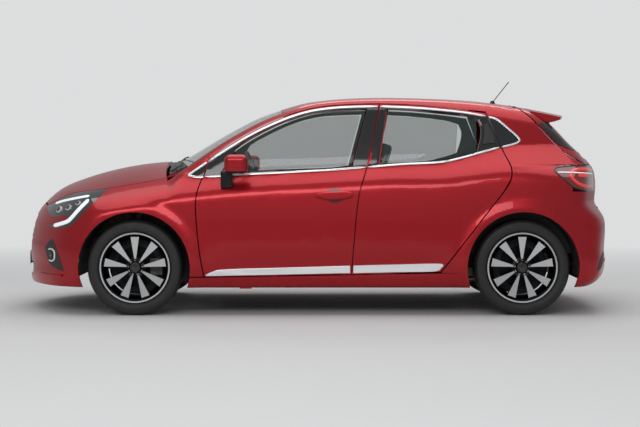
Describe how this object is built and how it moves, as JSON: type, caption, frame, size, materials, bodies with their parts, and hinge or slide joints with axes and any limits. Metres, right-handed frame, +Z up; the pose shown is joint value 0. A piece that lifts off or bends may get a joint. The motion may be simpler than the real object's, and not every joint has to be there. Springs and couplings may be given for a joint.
{
  "type": "hatchback car",
  "caption": "Small five-door hatchback with rounded body, sloping tail, roof-edge spoiler, side doors, steered front wheels and seats inside.",
  "frame": {"origin": "on the ground, at the centre of the car in plan", "axes": "+X towards the nose, +Y towards the left side, +Z up"},
  "size_m": [4.0474, 1.986, 1.6001],
  "materials": {
    "paint": "deep glossy metallic red",
    "bumper": "red, as the body, on moulded plastic",
    "glass": "tinted green grey",
    "lamp": "clear lamp cover",
    "tail_lamp": "red lamp cover",
    "grille": "black",
    "liner": "black",
    "trim": "black",
    "steel": "dark primer",
    "cast": "rough",
    "exhaust": "dull",
    "tank": "black",
    "engine": "cast",
    "seat": "dark woven",
    "alloy": "machined faces, black pockets",
    "tyre": "black"
  },
  "bodies": {
    "body": {"antenna": "trim", "body_side_left": "paint", "body_side_right": "paint", "cowl_panel": "trim", "dashboard": "trim", "engine_block": "engine", "exhaust": "exhaust", "fender_left": "paint", "fender_right": "paint", "floor_pan": "steel", "front_bumper": "bumper", "front_seats": "seat", "front_structure": "steel", "fuel_tank": "tank", "grille": "grille", "headlamp_left": "lamp", "headlamp_right": "lamp", "rear_axle": "cast", "rear_bench": "seat", "rear_bumper": "bumper", "roof_panel": "paint", "tail_lamp_left": "tail_lamp", "tail_lamp_right": "tail_lamp", "wheel_liners": "liner", "windscreen": "glass", "wipers": "trim"},
    "bonnet": {"bonnet": "paint"},
    "tailgate": {"tailgate": "paint", "tailgate_glass": "glass", "spoiler": "paint"},
    "steering_wheel": {"steering_wheel": "trim"},
    "door_front_left": {"door_front_left": "paint", "glass_front_left": "glass", "mirror_left": "paint"},
    "door_rear_left": {"door_rear_left": "paint", "glass_rear_left": "glass"},
    "knuckle_left": {"knuckle_left": "cast"},
    "wheel_front_left": {"rim_front_left": "alloy", "tyre_front_left": "tyre"},
    "wheel_rear_left": {"rim_rear_left": "alloy", "tyre_rear_left": "tyre"},
    "door_front_right": {"door_front_right": "paint", "glass_front_right": "glass", "mirror_right": "paint"},
    "door_rear_right": {"door_rear_right": "paint", "glass_rear_right": "glass"},
    "knuckle_right": {"knuckle_right": "cast"},
    "wheel_front_right": {"rim_front_right": "alloy", "tyre_front_right": "tyre"},
    "wheel_rear_right": {"rim_rear_right": "alloy", "tyre_rear_right": "tyre"}
  },
  "joints": [
    {"name": "door_front_left_hinge", "type": "hinge", "parent": "body", "child": "door_front_left", "pos_m": [0.726, 0.883, 0.585], "axis": [0, 0, -1], "range_deg": [0, 65]},
    {"name": "door_rear_left_hinge", "type": "hinge", "parent": "body", "child": "door_rear_left", "pos_m": [-0.315, 0.883, 0.585], "axis": [0, 0, -1], "range_deg": [0, 65]},
    {"name": "steer_left", "type": "hinge", "parent": "body", "child": "knuckle_left", "pos_m": [1.188, 0.655, 0.215], "axis": [0, -0.1378, 0.9905], "range_deg": [-36, 36]},
    {"name": "wheel_front_left_spin", "type": "hinge", "parent": "knuckle_left", "child": "wheel_front_left", "pos_m": [1.188, 0.7545, 0.318], "axis": [0, 1, 0], "continuous": true},
    {"name": "wheel_rear_left_spin", "type": "hinge", "parent": "body", "child": "wheel_rear_left", "pos_m": [-1.395, 0.7495, 0.318], "axis": [0, 1, 0], "continuous": true},
    {"name": "door_front_right_hinge", "type": "hinge", "parent": "body", "child": "door_front_right", "pos_m": [0.726, -0.883, 0.585], "axis": [0, 0, 1], "range_deg": [0, 65]},
    {"name": "door_rear_right_hinge", "type": "hinge", "parent": "body", "child": "door_rear_right", "pos_m": [-0.315, -0.883, 0.585], "axis": [0, 0, 1], "range_deg": [0, 65]},
    {"name": "steer_right", "type": "hinge", "parent": "body", "child": "knuckle_right", "pos_m": [1.188, -0.655, 0.215], "axis": [0, 0.1378, 0.9905], "range_deg": [-36, 36]},
    {"name": "wheel_front_right_spin", "type": "hinge", "parent": "knuckle_right", "child": "wheel_front_right", "pos_m": [1.188, -0.7545, 0.318], "axis": [0, 1, 0], "continuous": true},
    {"name": "wheel_rear_right_spin", "type": "hinge", "parent": "body", "child": "wheel_rear_right", "pos_m": [-1.395, -0.7495, 0.318], "axis": [0, 1, 0], "continuous": true},
    {"name": "bonnet_hinge", "type": "hinge", "parent": "body", "child": "bonnet", "pos_m": [0.918, 0, 0.945], "axis": [0, -1, 0], "range_deg": [0, 45]},
    {"name": "tailgate_hinge", "type": "hinge", "parent": "body", "child": "tailgate", "pos_m": [-1.378, 0, 1.41288], "axis": [0, 1, 0], "range_deg": [0, 75]},
    {"name": "steering_wheel_turn", "type": "hinge", "parent": "body", "child": "steering_wheel", "pos_m": [0.398, 0.37, 0.93], "axis": [-0.9135, 0, 0.4067], "range_deg": [-540, 540]}
  ],
  "couplings": [
    {"joint": "steer_right", "follows": "steer_left", "ratio": 1},
    {"joint": "steering_wheel_turn", "follows": "steer_left", "ratio": 15}
  ]
}
